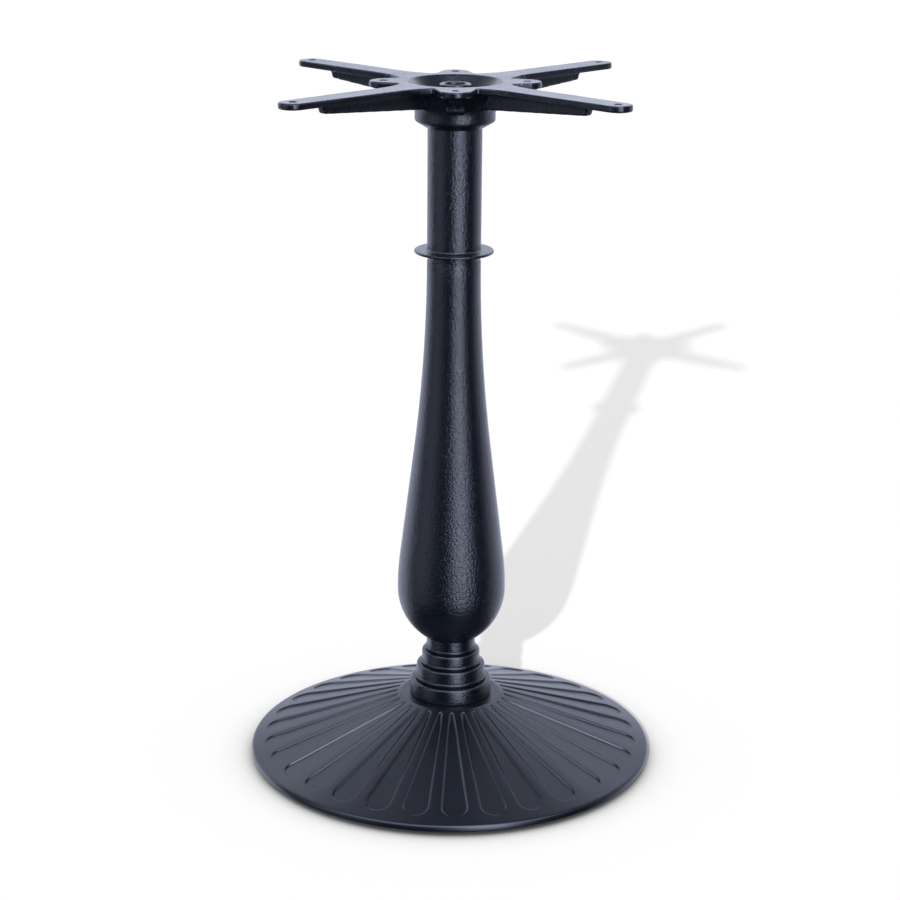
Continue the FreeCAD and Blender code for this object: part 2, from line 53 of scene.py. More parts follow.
# %% Place the camera
PICTURE_WIDTH = 900
FOCAL_PIXELS = 2274.4
SENSOR_MM = 36.0
CAMERA_PLACE = Vector((-0.00250, -2.2635, 1.0311))
CAMERA_TILT_DOWN = math.radians(17.052)
CAMERA_ROLL = math.radians(0.4517)

camera_data = bpy.data.cameras.new("portrait_camera")
camera_data.sensor_width = SENSOR_MM
camera_data.lens = FOCAL_PIXELS / PICTURE_WIDTH * SENSOR_MM
camera = bpy.data.objects.new("portrait_camera", camera_data)
bpy.context.scene.collection.objects.link(camera)
turn = Matrix.Rotation(math.pi / 2 - CAMERA_TILT_DOWN, 4, "X") @ Matrix.Rotation(CAMERA_ROLL, 4, "Z")
camera.matrix_world = Matrix.Translation(CAMERA_PLACE) @ turn
bpy.context.scene.camera = camera
print("lens in mm:", round(camera_data.lens, 2))

# %% [markdown]
# Finishes, floor and studio are all node trees, so a few small helpers come first:
# one empties a tree, one adds a node and sets its sockets by name,
# and the others give a step, a sum or product, and a blend of values.

# %% Node helpers
def clean_tree(owner):
    """Switch nodes on and start from an empty tree."""
    owner.use_nodes = True
    owner.node_tree.nodes.clear()
    return owner.node_tree


def add_node(tree, kind, sockets=None, **settings):
    """Add a node, set its properties and fill or link its sockets."""
    node = tree.nodes.new("ShaderNode" + kind)
    for name, value in settings.items():
        setattr(node, name, value)
    for name, value in (sockets or {}).items():
        if isinstance(value, bpy.types.NodeSocket):
            tree.links.new(value, node.inputs[name])
        else:
            node.inputs[name].default_value = value
    return node


def ramp_between(tree, value, low, high, bottom, top):
    """A smooth step of a value, from bottom at low to top at high."""
    sockets = {"Value": value, "From Min": low, "From Max": high, "To Min": bottom, "To Max": top}
    return add_node(tree, "MapRange", sockets, interpolation_type="SMOOTHSTEP").outputs["Result"]


def math_node(tree, operation, *values):
    """The result of one Math node."""
    return add_node(tree, "Math", dict(enumerate(values)), operation=operation).outputs[0]


def blend(tree, share, first, second, kind="FLOAT"):
    """A value or, with the kind RGBA, a colour that goes from the first to the second with a share."""
    sockets = {"Factor": share, "A": first, "B": second}
    return add_node(tree, "Mix", sockets, data_type=kind).outputs["Result"]


# %% [markdown]
# A dark satin coat shows mostly what it reflects, so the studio matters as much as the paint.
# Behind the object stands a white backdrop, overhead it is dimmer, and the room on the camera's side
# is dark, but for a tall strip box at the front right, which gives the upright highlight on the column,
# a dimmer window and a pale panel at the left, and a soft box over the camera,
# which draws the thin light lines along the rim and the tiers.
# Each light is a smooth step over the azimuth, in radians, or over one part of the ray's direction,
# from -1 to 1, so the whole room is a few nodes and needs no picture.

# %% Studio lights
STUDIO_TINT = (0.74, 0.79, 1.0, 1.0)
WHITE = (1.0, 1.0, 1.0, 1.0)
BACKDROP_LIGHT = 1.22
BACKDROP_LEFT = (math.radians(-114.0), math.radians(-108.0))
BACKDROP_RIGHT = (math.radians(84.0), math.radians(118.0))
BACKDROP_LOW_END = (-0.75, -0.42)
OVERHEAD_LIGHT = 0.42
OVERHEAD_RISE = (0.28, 0.9)
ROOM_LIGHT = 0.02
ROOM_LOW_END = (-0.43, -0.33)
ROOM_TO_BACKDROP = (-0.3, 0.3)
FILL_LIGHT = 0.8
BAND_TOP_END = (0.90, 1.0)
BAND_CORE = 0.5
BAND_EDGE = 1.5
STRIP_LIGHT = 7.4
STRIP_AZIMUTH = math.radians(22.0)
STRIP_HALF_WIDTH = math.radians(12.0)
WINDOW_LIGHT = 0.95
WINDOW_AZIMUTH = math.radians(-66.0)
WINDOW_HALF_WIDTH = math.radians(20.0)
PANEL_LIGHT = 0.8
PANEL_AZIMUTH = math.radians(-121.0)
PANEL_HALF_WIDTH = math.radians(11.0)
HIGH_BOX_LIGHT = 2.8
HIGH_BOX_BACK_END = (-0.35, -0.15)
HIGH_BOX_LOW_END = (0.42, 0.58)


def band(tree, azimuth, middle, half_width, light):
    """A soft upright band of light in the room, round one azimuth."""
    distance = math_node(tree, "ABSOLUTE", math_node(tree, "SUBTRACT", azimuth, middle))
    return ramp_between(tree, distance, BAND_CORE * half_width, BAND_EDGE * half_width, light, 0.0)


bpy.context.scene.view_settings.view_transform = "Standard"
world = bpy.data.worlds.new("studio")
bpy.context.scene.world = world
tree = clean_tree(world)
ray = add_node(tree, "TexCoord").outputs["Generated"]
direction = add_node(tree, "SeparateXYZ", {"Vector": ray}).outputs
forward = math_node(tree, "MULTIPLY", direction["Y"], -1.0)
azimuth = math_node(tree, "ARCTAN2", direction["X"], forward)
left = ramp_between(tree, azimuth, *BACKDROP_LEFT, BACKDROP_LIGHT, ROOM_LIGHT)
right = ramp_between(tree, azimuth, *BACKDROP_RIGHT, 0.0, BACKDROP_LIGHT)
walls = math_node(tree, "ADD", left, right)
strip = band(tree, azimuth, STRIP_AZIMUTH, STRIP_HALF_WIDTH, STRIP_LIGHT)
window = band(tree, azimuth, WINDOW_AZIMUTH, WINDOW_HALF_WIDTH, WINDOW_LIGHT)
panel = band(tree, azimuth, PANEL_AZIMUTH, PANEL_HALF_WIDTH, PANEL_LIGHT)
bands = math_node(tree, "ADD", math_node(tree, "ADD", strip, window), panel)
print("studio lights: strip", STRIP_LIGHT, "backdrop", BACKDROP_LIGHT)

# %% [markdown]
# The world node tree adds these lights up and lets them end near the floor.
# Reflections see that room, the camera sees plain white, and everything else gets even white light,
# so a colour renders about as it is written.

# %% Studio world
overhead = ramp_between(tree, direction["Z"], *OVERHEAD_RISE, 0.0, 1.0)
room = blend(tree, overhead, walls, OVERHEAD_LIGHT)
band_top = ramp_between(tree, direction["Z"], *BAND_TOP_END, 1.0, 0.0)
room = math_node(tree, "MULTIPLY_ADD", bands, band_top, room)
in_front = ramp_between(tree, direction["Y"], *HIGH_BOX_BACK_END, HIGH_BOX_LIGHT, 0.0)
high = ramp_between(tree, direction["Z"], *HIGH_BOX_LOW_END, 0.0, 1.0)
room = math_node(tree, "MULTIPLY_ADD", in_front, high, room)
behind = ramp_between(tree, direction["Y"], *ROOM_TO_BACKDROP, 0.0, 1.0)
low_front = ramp_between(tree, direction["Z"], *ROOM_LOW_END, 0.0, 1.0)
low_back = ramp_between(tree, direction["Z"], *BACKDROP_LOW_END, 0.0, 1.0)
room = math_node(tree, "MULTIPLY", room, blend(tree, behind, low_front, low_back))
mirrored = add_node(tree, "Background", {"Color": STUDIO_TINT, "Strength": room}).outputs[0]
plain = add_node(tree, "Background", {"Color": WHITE, "Strength": FILL_LIGHT}).outputs[0]
white = add_node(tree, "Background", {"Color": WHITE, "Strength": 1.0}).outputs[0]
path = add_node(tree, "LightPath").outputs
seen_by_mirror = math_node(tree, "MAXIMUM", path["Is Glossy Ray"], path["Is Transmission Ray"])
indirect = add_node(tree, "MixShader", {"Fac": seen_by_mirror, 1: plain, 2: mirrored}).outputs[0]
shown = add_node(tree, "MixShader", {"Fac": path["Is Camera Ray"], 1: indirect, 2: white}).outputs[0]
add_node(tree, "OutputWorld", {"Surface": shown})
world.cycles.sampling_method = "NONE"
print("studio world:", world.name)

# %% [markdown]
# The floor is plain white paper that runs past the edges of the picture and keeps the object's shadow.
# The reflections leave it out, because the room above already says what is bright and what is dark.
# Close under the rim, where little light gets in, the render darkens it, and an occlusion node paints more
# shade into its colour:
# a painted contact shadow on top of the real one, down to the thin contact shadow of the photograph.

# %% Floor
FLOOR_SIZE = 60.0
FLOOR_GAP = 0.0001
PAINTED_SHADE_REACH = 0.04
PAINTED_SHADE_SAMPLES = 8

bpy.ops.mesh.primitive_plane_add(size=FLOOR_SIZE, location=(0, 0, -FLOOR_GAP))
floor = bpy.context.active_object
floor.name = "floor"
floor.visible_glossy = False
floor_paper = bpy.data.materials.new("floor_paper")
tree = clean_tree(floor_paper)
# Painted contact shadow: the occlusion node darkens the floor's colour close to the object, on top of its
# real shadow.
painted_contact_shade = add_node(
    tree, "AmbientOcclusion", {"Distance": PAINTED_SHADE_REACH}, samples=PAINTED_SHADE_SAMPLES
).outputs["Color"]
paper = add_node(tree, "BsdfDiffuse", {"Color": painted_contact_shade}).outputs[0]
add_node(tree, "OutputMaterial", {"Surface": paper})
floor.data.materials.append(floor_paper)
print("floor:", FLOOR_SIZE, "m across")

# %% [markdown]
# Two lamps finish the studio. A low distant one throws the long pale shadow to the back right,
# and is kept out of the reflections, where it would show as a hard glint.
# A wide soft box high behind the object lights the flat tops of the spider, which see it at a grazing angle,
# and is kept out of the plain light.

# %% Lamps
SHADOW_AZIMUTH = math.radians(78.6)
SHADOW_ELEVATION = math.radians(21.8)
SHADOW_STRENGTH = 2.0
SHADOW_SOFTNESS = math.radians(0.9)
BOX_PLACE = Vector((0.0, 1.2, 1.28))
BOX_AIM = Vector((0.0, 0.0, 0.75))
BOX_SIZE = (2.6, 0.62)
BOX_RADIANCE = 1.3
BOX_TINT = (0.80, 0.85, 1.0)


def add_lamp(name, kind, energy, toward):
    """Add a lamp that shines along a direction."""
    data = bpy.data.lights.new(name, kind)
    data.energy = energy
    lamp = bpy.data.objects.new(name, data)
    lamp.rotation_euler = toward.to_track_quat("-Z", "Y").to_euler()
    bpy.context.scene.collection.objects.link(lamp)
    return lamp


slope = -math.tan(SHADOW_ELEVATION)
shadow_way = Vector((math.cos(SHADOW_AZIMUTH), math.sin(SHADOW_AZIMUTH), slope))
shadow_lamp = add_lamp("shadow_lamp", "SUN", SHADOW_STRENGTH, shadow_way)
shadow_lamp.data.angle = SHADOW_SOFTNESS
shadow_lamp.visible_glossy = False
box_watts = BOX_RADIANCE * math.pi * BOX_SIZE[0] * BOX_SIZE[1]
soft_box = add_lamp("soft_box", "AREA", box_watts, BOX_AIM - BOX_PLACE)
soft_box.location = BOX_PLACE
soft_box.data.shape = "RECTANGLE"
soft_box.data.size, soft_box.data.size_y = BOX_SIZE
soft_box.data.color = BOX_TINT
soft_box.visible_diffuse = False
soft_box.visible_camera = False
print("lamps:", shadow_lamp.name, soft_box.name)

# %% [markdown]
# The castings are round or repeated forms, so they start as traced outlines.
# By hand that is one vertex, extruded from corner to corner, then spun or filled.
# The helpers below do just that, in millimetres, with a rounding for each corner that has one.

# %% Tracing helpers
MM = 0.001
MERGE = 0.00001
CORNER_STEP = math.radians(15.0)


def rounded(corners, closed=True):
    """Points of an outline of (x, y, rounding) corners, each rounding drawn as an arc."""
    points = []
    for index, (x, y, rounding) in enumerate(corners):
        here = Vector((x, y))
        ends = not closed and index in (0, len(corners) - 1)
        if rounding == 0 or ends:
            points.append(here)
            continue
        back = (Vector(corners[index - 1][:2]) - here).normalized()
        ahead = (Vector(corners[(index + 1) % len(corners)][:2]) - here).normalized()
        half = back.angle(ahead) / 2
        centre = here + (back + ahead).normalized() * (rounding / math.sin(half))
        first = here + back * (rounding / math.tan(half)) - centre
        last = here + ahead * (rounding / math.tan(half)) - centre
        steps = max(2, math.ceil((math.pi - 2 * half) / CORNER_STEP))
        points += [centre + first.slerp(last, step / steps) * rounding for step in range(steps + 1)]
    return points


def trace(name, points):
    """Extrude one vertex along points in metres, and stay in edit mode."""
    bpy.ops.object.select_all(action="DESELECT")
    bpy.ops.mesh.primitive_plane_add(size=MM)
    piece = bpy.context.active_object
    piece.name = name
    piece.data.name = name
    bpy.ops.object.mode_set(mode="EDIT")
    bpy.ops.mesh.merge(type="CENTER")
    bpy.ops.transform.translate(value=points[0])
    for before, after in zip(points, points[1:]):
        bpy.ops.mesh.extrude_region_move(TRANSFORM_OT_translate={"value": after - before})
    return piece


def tidy_mesh():
    """Close seams and point the faces outwards, then leave edit mode."""
    bpy.ops.mesh.select_all(action="SELECT")
    bpy.ops.mesh.remove_doubles(threshold=MERGE)
    bpy.ops.mesh.normals_make_consistent(inside=False)
    bpy.ops.object.mode_set(mode="OBJECT")


def spun(name, outline, steps, closed=True):
    """Spin an outline of (radius, height) points in millimetres about the column's axis."""
    points = [Vector((point[0], 0.0, point[1])) * MM for point in outline]
    piece = trace(name, points + points[:1] if closed else points)
    bpy.ops.mesh.select_all(action="SELECT")
    bpy.ops.mesh.remove_doubles(threshold=MERGE)
    bpy.ops.mesh.spin(steps=steps, angle=2 * math.pi, center=(0, 0, 0), axis=(0, 0, 1))
    tidy_mesh()
    return piece


def prism(name, points, depth):
    """Fill a traced outline and extrude it by a depth vector."""
    piece = trace(name, points)
    bpy.ops.mesh.select_all(action="SELECT")
    bpy.ops.mesh.edge_face_add()
    bpy.ops.mesh.extrude_region_move(TRANSFORM_OT_translate={"value": depth})
    tidy_mesh()
    return piece


# %% [markdown]
# Traced forms then become castings: they are joined, cut or added with booleans, and shaded.
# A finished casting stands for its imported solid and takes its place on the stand.

# %% Casting helpers
def join(pieces):
    """Make one object of several; the first keeps its name."""
    bpy.ops.object.select_all(action="DESELECT")
    for piece in pieces:
        piece.select_set(True)
    bpy.context.view_layer.objects.active = pieces[0]
    bpy.ops.object.join()
    return pieces[0]


def apply_modifier(piece, kind, **settings):
    """Add a modifier, set it and apply it."""
    bpy.ops.object.select_all(action="DESELECT")
    bpy.context.view_layer.objects.active = piece
    piece.select_set(True)
    modifier = piece.modifiers.new(kind.lower(), kind)
    for name, value in settings.items():
        setattr(modifier, name, value)
    bpy.ops.object.modifier_apply(modifier=modifier.name)


def combine(piece, tool, operation):
    """Add or cut a tool piece, then delete the tool."""
    apply_modifier(piece, "BOOLEAN", object=tool, operation=operation, solver="EXACT")
    bpy.data.objects.remove(tool, do_unlink=True)


def dress(piece, node, smooth_angle):
    """Shade a finished casting, let it stand for its solid and ride with the stand."""
    bpy.ops.object.select_all(action="DESELECT")
    bpy.context.view_layer.objects.active = piece
    piece.select_set(True)
    bpy.ops.object.shade_smooth_by_angle(angle=math.radians(smooth_angle))
    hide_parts(node)
    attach(piece, "stand")
    triangles = sum(len(face.vertices) - 2 for face in piece.data.polygons)
    print(piece.name, "stands for", node, "with", triangles, "triangles")


# %% [markdown]
# The column is one hollow casting: three stepped tiers, a neck, a bulb that runs out into a long taper,
# a thin ring and a plain tube that disappears into the spider.
# It could be lathed from a curve, but a traced outline keeps every radius exact.
# The bulb and the taper are two arcs joined by a straight tangent, worked out as on a drawing board.

# %% Column outline
SEAT_HEIGHT = 66.5
TIERS = ((43.2, 17.3), (36.3, 17.2), (30.7, 15.6))
TIER_ROUND = 2.6
BEAD_LEVEL = 2.3
BEAD_SWELL = 1.5
BEAD_HALF = 2.0
NECK_RADIUS = 25.7
NECK_TOP = 130.9
BULB_RADIUS = 56.8
BULB_UNDER_RADIUS = 64.3
BULB_OVER_RADIUS = 299.0
TAPER_STRAIGHT = 120.0
WAIST_RADIUS = 27.5
RING_LEVEL = 548.2
RING_RADIUS = 40.5
RING_THICKNESS = 3.0
RING_NECK_RADIUS = 26.8
RING_NECK_LENGTH = 8.0
TUBE_RADIUS = 27.5
TUBE_TOP = 690.0
BORE_RADIUS = 21.0
FOOT_BORE_RADIUS = 35.7
FOOT_BORE_DEPTH = 14.0
FOOT_EDGE_ROUND = 1.2
RING_EDGE_ROUND = 1.3
RING_FILLET = 2.5
RING_NECK_SLOPE = 1.5
SMALL_ROUND = 1.0
BEAD_STEPS = 10
BULB_STEPS = 16
FLARE_STEPS = 10


def arc(centre, radius, first, last, steps):
    """Points on an arc, between two angles."""
    angles = [first + (last - first) * step / steps for step in range(steps + 1)]
    return [(centre[0] + radius * math.cos(a), centre[1] + radius * math.sin(a), 0) for a in angles]


def tier_corners():
    """The stepped foot, each step a rounded shoulder with a bead at the foot of the next."""
    radii = [radius for radius, _ in TIERS] + [NECK_RADIUS]
    corners = [(FOOT_BORE_RADIUS, SEAT_HEIGHT, 0), (radii[0], SEAT_HEIGHT, FOOT_EDGE_ROUND)]
    bead_radius = (BEAD_HALF**2 + BEAD_SWELL**2) / (2 * BEAD_SWELL)
    bead_turn = math.asin(BEAD_HALF / bead_radius)
    top = SEAT_HEIGHT
    for (radius, height), upper in zip(TIERS, radii[1:]):
        top += height
        bead_centre = (upper + BEAD_SWELL - bead_radius, top + BEAD_LEVEL)
        corners += [(radius, top, TIER_ROUND), (upper, top, 0)]
        corners += arc(bead_centre, bead_radius, -bead_turn, bead_turn, BEAD_STEPS)
    return corners


def baluster_corners():
    """The neck, the bulb's two arcs, the straight taper and the flare into the waist."""
    under_x = BULB_RADIUS - BULB_UNDER_RADIUS
    over_x = BULB_RADIUS - BULB_OVER_RADIUS
    bulb_level = NECK_TOP + math.sqrt(BULB_UNDER_RADIUS**2 - (NECK_RADIUS - under_x) ** 2)
    waist_level = RING_LEVEL - RING_THICKNESS / 2 - RING_NECK_LENGTH
    along = waist_level - bulb_level
    spare = (WAIST_RADIUS - over_x) ** 2 + along**2 - BULB_OVER_RADIUS**2 - TAPER_STRAIGHT**2
    flare_radius = spare / (2 * (BULB_RADIUS - WAIST_RADIUS))
    flare_x = WAIST_RADIUS + flare_radius
    across = flare_x - over_x
    reach = BULB_OVER_RADIUS + flare_radius
    tangent = math.atan2(along * reach - across * TAPER_STRAIGHT, across * reach + along * TAPER_STRAIGHT)
    neck_angle = math.atan2(NECK_TOP - bulb_level, NECK_RADIUS - under_x)
    corners = arc((under_x, bulb_level), BULB_UNDER_RADIUS, neck_angle, 0, BULB_STEPS)
    corners += arc((over_x, bulb_level), BULB_OVER_RADIUS, 0, tangent, BULB_STEPS)[1:]
    corners += arc((flare_x, waist_level), flare_radius, math.pi + tangent, math.pi, FLARE_STEPS)
    return corners


ring_bottom = RING_LEVEL - RING_THICKNESS / 2
ring_top = ring_bottom + RING_THICKNESS
column_corners = tier_corners() + baluster_corners() + [
    (RING_NECK_RADIUS, ring_bottom - RING_NECK_LENGTH + RING_NECK_SLOPE, SMALL_ROUND),
    (RING_NECK_RADIUS, ring_bottom, RING_FILLET),
    (RING_RADIUS, ring_bottom, RING_EDGE_ROUND),
    (RING_RADIUS, ring_top, RING_EDGE_ROUND),
    (TUBE_RADIUS, ring_top, RING_FILLET),
    (TUBE_RADIUS, TUBE_TOP, SMALL_ROUND),
    (BORE_RADIUS, TUBE_TOP, 0),
    (BORE_RADIUS, NECK_TOP, 0),
    (FOOT_BORE_RADIUS, SEAT_HEIGHT + FOOT_BORE_DEPTH, 0),
]
print("column outline corners:", len(column_corners))

# %% [markdown]
# The outline is spun once about the axis. Edges that turn more sharply than the crease angle stay crisp
# in the shading, and the roundings and the bulb run smooth.

# %% Spin the column
COLUMN_STEPS = 144
CREASE_ANGLE = 50

column = spun("column", rounded(column_corners), COLUMN_STEPS)
dress(column, "column_casting", CREASE_ANGLE)

# %% [markdown]
# The foot plate is the showpiece: a shallow cone with thirty tapered flutes sunk into it.
# Cutting thirty flutes would leave ragged edges, so one flute is built with its share of the cone:
# a ring of edges is extruded several times and its rings are shaped, first to the sector's border,
# then to ever smaller copies of the flute's outline, each a little deeper than the last.
# Copied thirty times about the axis, the sectors close into one clean cone.

# %% Flute outline
SEAT_RADIUS = 52.5
RIM_RADIUS = 213.5
RIM_LIFT = 4.5
RIM_CREST = 10.5
RIM_ROUND = 4.0
FLUTES = 30
FLUTE_START = 4.0
FLUTE_END_GAP = 14.0
FLUTE_INNER_RADIUS = 2.3
FLUTE_OUTER_RADIUS = 13.5
FLUTE_DEPTH = 2.1
FLUTE_LIP = 0.8
FLUTE_FLOOR = 1.8
FLUTE_RUN_IN = 16.0
FLUTE_START_SHARE = 0.4
FLUTE_END_SHARE = 0.65
WALL_RINGS = 7
ARC_STEPS = 6
SIDE_STEPS = 12
SECTOR_START = 1.8
SECTOR_END_GAP = 5.0

cone_slant = math.hypot(RIM_RADIUS - SEAT_RADIUS, SEAT_HEIGHT - RIM_CREST)
cone_cos = (RIM_RADIUS - SEAT_RADIUS) / cone_slant
cone_sin = (SEAT_HEIGHT - RIM_CREST) / cone_slant
half_sector = math.pi / FLUTES
steps_round = FLUTES * 2 * ARC_STEPS


def cone_radius(along):
    """The cone's radius at a place down its slope."""
    return SEAT_RADIUS + along * cone_cos


def on_cone(along, angle, depth=0.0):
    """A point down the cone from the seat, sunk square to the surface, towards the camera side."""
    radius = cone_radius(along) - depth * cone_sin
    height = SEAT_HEIGHT - along * cone_sin - depth * cone_cos
    return Vector((radius * math.sin(angle), -radius * math.cos(angle), height)) * MM


def whole_ring(half):
    """Mirror half a ring of (along, angle) places about the flute's middle line."""
    return half + [(along, -angle) for along, angle in half[-2:0:-1]]


def border_ring():
    """The border of one flute's share of the cone, as (along, angle) places."""
    first, last = SECTOR_START, cone_slant - SECTOR_END_GAP
    half = [(first, half_sector * step / ARC_STEPS) for step in range(ARC_STEPS)]
    half += [(first + (last - first) * step / SIDE_STEPS, half_sector) for step in range(SIDE_STEPS)]
    half += [(last, half_sector * (1 - step / ARC_STEPS)) for step in range(ARC_STEPS + 1)]
    return whole_ring(half)


def flute_ring(inset):
    """The flute's outline, drawn in by an inset, as (along, angle) places."""
    inner = FLUTE_INNER_RADIUS - inset
    outer = FLUTE_OUTER_RADIUS - inset
    inner_centre = FLUTE_START + FLUTE_INNER_RADIUS
    outer_centre = cone_slant - FLUTE_END_GAP - FLUTE_OUTER_RADIUS
    quarter = [math.pi / 2 * step / ARC_STEPS for step in range(ARC_STEPS + 1)]
    half = [(inner_centre - inner * math.cos(a), inner * math.sin(a)) for a in quarter[:-1]]
    for step in range(SIDE_STEPS):
        share = step / SIDE_STEPS
        half.append((inner_centre + (outer_centre - inner_centre) * share, inner + (outer - inner) * share))
    half += [(outer_centre + outer * math.sin(a), outer * math.cos(a)) for a in quarter]
    return whole_ring([(along, width / cone_radius(along)) for along, width in half])


def run_in(along):
    """The share of the full depth, which a flute reaches only some way in from both its ends."""
    from_start = (along - FLUTE_START) / FLUTE_RUN_IN
    to_end = (cone_slant - FLUTE_END_GAP - along) / FLUTE_RUN_IN
    start_share = FLUTE_START_SHARE + (1 - FLUTE_START_SHARE) * from_start
    end_share = FLUTE_END_SHARE + (1 - FLUTE_END_SHARE) * to_end
    return min(1.0, start_share, end_share)


print("flute length in mm:", round(cone_slant - FLUTE_END_GAP - FLUTE_START, 1))

# %% [markdown]
# A circle with as many points as the border has is extruded once for each ring and closed with a face.
# Its points then move to their places, and a spin with copies sets the sector thirty times.

# %% Flute sectors
rings = [[on_cone(*place) for place in border_ring()]]
for ring in range(WALL_RINGS):
    share = ring / (WALL_RINGS - 1)
    inset = -FLUTE_LIP + (FLUTE_LIP + FLUTE_FLOOR) * share
    depth = FLUTE_DEPTH * share * share * (3 - 2 * share)
    rings.append([on_cone(*place, depth * run_in(place[0])) for place in flute_ring(inset)])
ring_size = len(rings[0])

bpy.ops.object.select_all(action="DESELECT")
bpy.ops.mesh.primitive_circle_add(vertices=ring_size, radius=1.0)
base = bpy.context.active_object
base.name = "foot_plate"
base.data.name = "foot_plate"
bpy.ops.object.mode_set(mode="EDIT")
for _ in range(WALL_RINGS):
    bpy.ops.mesh.extrude_region_move(TRANSFORM_OT_translate={"value": (0, 0, 1)})
bpy.ops.mesh.edge_face_add()
bpy.ops.object.mode_set(mode="OBJECT")
for vertex in base.data.vertices:
    place = round(math.atan2(vertex.co.y, vertex.co.x) / (2 * math.pi) * ring_size) % ring_size
    vertex.co = rings[round(vertex.co.z)][place]
bpy.ops.object.mode_set(mode="EDIT")
bpy.ops.mesh.select_all(action="SELECT")
others = FLUTES - 1
bpy.ops.mesh.spin(
    steps=others, dupli=True, angle=2 * half_sector * others, center=(0, 0, 0), axis=(0, 0, 1)
)
tidy_mesh()
print("fluted cone faces:", len(base.data.polygons))

# %% [markdown]
# The rest of the foot plate is turned: the seat under the column, the rounded rim and the hollow underside.
# Its outline starts and ends on the fluted cone's two borders, so the two meshes merge without a seam.

# %% Rim, seat and underside
SHELL_UPRIGHT = 6.9
LAND_RADIUS = 202.5
SPIGOT_RADIUS = 35.3
SPIGOT_TOP = 70.5
ROD_HOLE_RADIUS = 5.5
BOSS_RADIUS = 32.0
BOSS_BOTTOM = 44.5
LAND_ROUND = 1.2
BOSS_FILLET = 3.0
SPIGOT_ROUND = 0.8
SEAT_ROUND = 2.0


def cone_height(radius):
    """The height of the cone's surface at a radius."""
    return SEAT_HEIGHT - (radius - SEAT_RADIUS) * cone_sin / cone_cos


outer_border = cone_radius(cone_slant - SECTOR_END_GAP)
inner_border = cone_radius(SECTOR_START)
under_seat = SEAT_HEIGHT - SHELL_UPRIGHT
plate_corners = [
    (outer_border, cone_height(outer_border), 0),
    (RIM_RADIUS, RIM_CREST, RIM_ROUND),
    (RIM_RADIUS, RIM_LIFT, LAND_ROUND),
    (LAND_RADIUS, RIM_LIFT, LAND_ROUND),
    (LAND_RADIUS, cone_height(LAND_RADIUS) - SHELL_UPRIGHT, SMALL_ROUND),
    (SEAT_RADIUS, under_seat, 0),
    (BOSS_RADIUS, under_seat, BOSS_FILLET),
    (BOSS_RADIUS, BOSS_BOTTOM, SMALL_ROUND),
    (ROD_HOLE_RADIUS, BOSS_BOTTOM, 0),
    (ROD_HOLE_RADIUS, SPIGOT_TOP, 0),
    (SPIGOT_RADIUS, SPIGOT_TOP, SPIGOT_ROUND),
    (SPIGOT_RADIUS, SEAT_HEIGHT, 0),
    (SEAT_RADIUS, SEAT_HEIGHT, SEAT_ROUND),
    (inner_border, cone_height(inner_border), 0),
]
turned_plate = spun("turned_plate", rounded(plate_corners, closed=False), steps_round, closed=False)
base = join([base, turned_plate])
bpy.ops.object.mode_set(mode="EDIT")
tidy_mesh()
print("foot plate faces:", len(base.data.polygons))

# %% [markdown]
# Under the plate four ribs run out from the centre boss to the bosses of the levelling glides.
# They are simple prisms, added to the plate with a boolean so that the casting stays one skin.

# %% Ribs and glide bosses
GLIDE_CIRCLE = 165.0
GLIDE_BOSS_RADIUS = 12.0
GLIDE_BOSS_BOTTOM = 6.3
GLIDE_HOLE_RADIUS = 4.3
GLIDE_HOLE_TOP = 19.3
RIB_THICKNESS = 7.0
RIB_END_LIFT = 6.0
RIB_SINK = 2.3
RIB_OVERLAP = 2.0
RIB_START_LIFT = 1.5
CUT_SPARE = 1.0
NORMAL_WEIGHT = 70
QUARTERS = 4
BASE_TURN = math.radians(1.5)


def on_spoke(angle, along, across, height):
    """A point along a spoke from the axis, in metres."""
    x = along * math.cos(angle) - across * math.sin(angle)
    y = along * math.sin(angle) + across * math.cos(angle)
    return Vector((x, y, height)) * MM


def four_times(piece):
    """Copy a piece's mesh to all four quarters."""
    bpy.ops.object.mode_set(mode="EDIT")
    bpy.ops.mesh.select_all(action="SELECT")
    others = QUARTERS - 1
    turn_by = math.pi / 2 * others
    bpy.ops.mesh.spin(steps=others, dupli=True, angle=turn_by, center=(0, 0, 0), axis=(0, 0, 1))
    bpy.ops.object.mode_set(mode="OBJECT")
    return piece


def post(name, place, radius, bottom, top, sides=32):
    """A plain round post, used to add a boss or to cut a hole."""
    bpy.ops.object.select_all(action="DESELECT")
    middle = Vector((place.x, place.y, (bottom + top) / 2 * MM))
    length = (top - bottom) * MM
    bpy.ops.mesh.primitive_cylinder_add(vertices=sides, radius=radius * MM, depth=length, location=middle)
    piece = bpy.context.active_object
    piece.name = name
    bpy.ops.object.transform_apply(location=True, rotation=True, scale=True)
    return piece


DIAGONAL = math.pi / 4
rib_low = GLIDE_BOSS_BOTTOM + RIB_END_LIFT
rib_side = [
    (BOSS_RADIUS - RIB_OVERLAP, BOSS_BOTTOM + RIB_START_LIFT),
    (GLIDE_CIRCLE, rib_low),
    (GLIDE_CIRCLE, cone_height(GLIDE_CIRCLE) - SHELL_UPRIGHT + RIB_SINK),
    (SEAT_RADIUS, under_seat + RIB_SINK),
    (BOSS_RADIUS - RIB_OVERLAP, under_seat + RIB_SINK),
]
across = on_spoke(DIAGONAL, 0, RIB_THICKNESS, 0)
rib = prism("rib", [on_spoke(DIAGONAL, s, -RIB_THICKNESS / 2, z) for s, z in rib_side], across)
glide_place = on_spoke(DIAGONAL, GLIDE_CIRCLE, 0, 0)
boss_top = cone_height(GLIDE_CIRCLE) - SHELL_UPRIGHT + RIB_SINK
boss = post("boss", glide_place, GLIDE_BOSS_RADIUS, GLIDE_BOSS_BOTTOM, boss_top)
for vertex in boss.data.vertices:
    if vertex.co.z > rib_low * MM:
        radius = math.hypot(vertex.co.x, vertex.co.y) / MM
        vertex.co.z = (cone_height(radius) - SHELL_UPRIGHT + RIB_SINK) * MM
combine(rib, boss, "UNION")
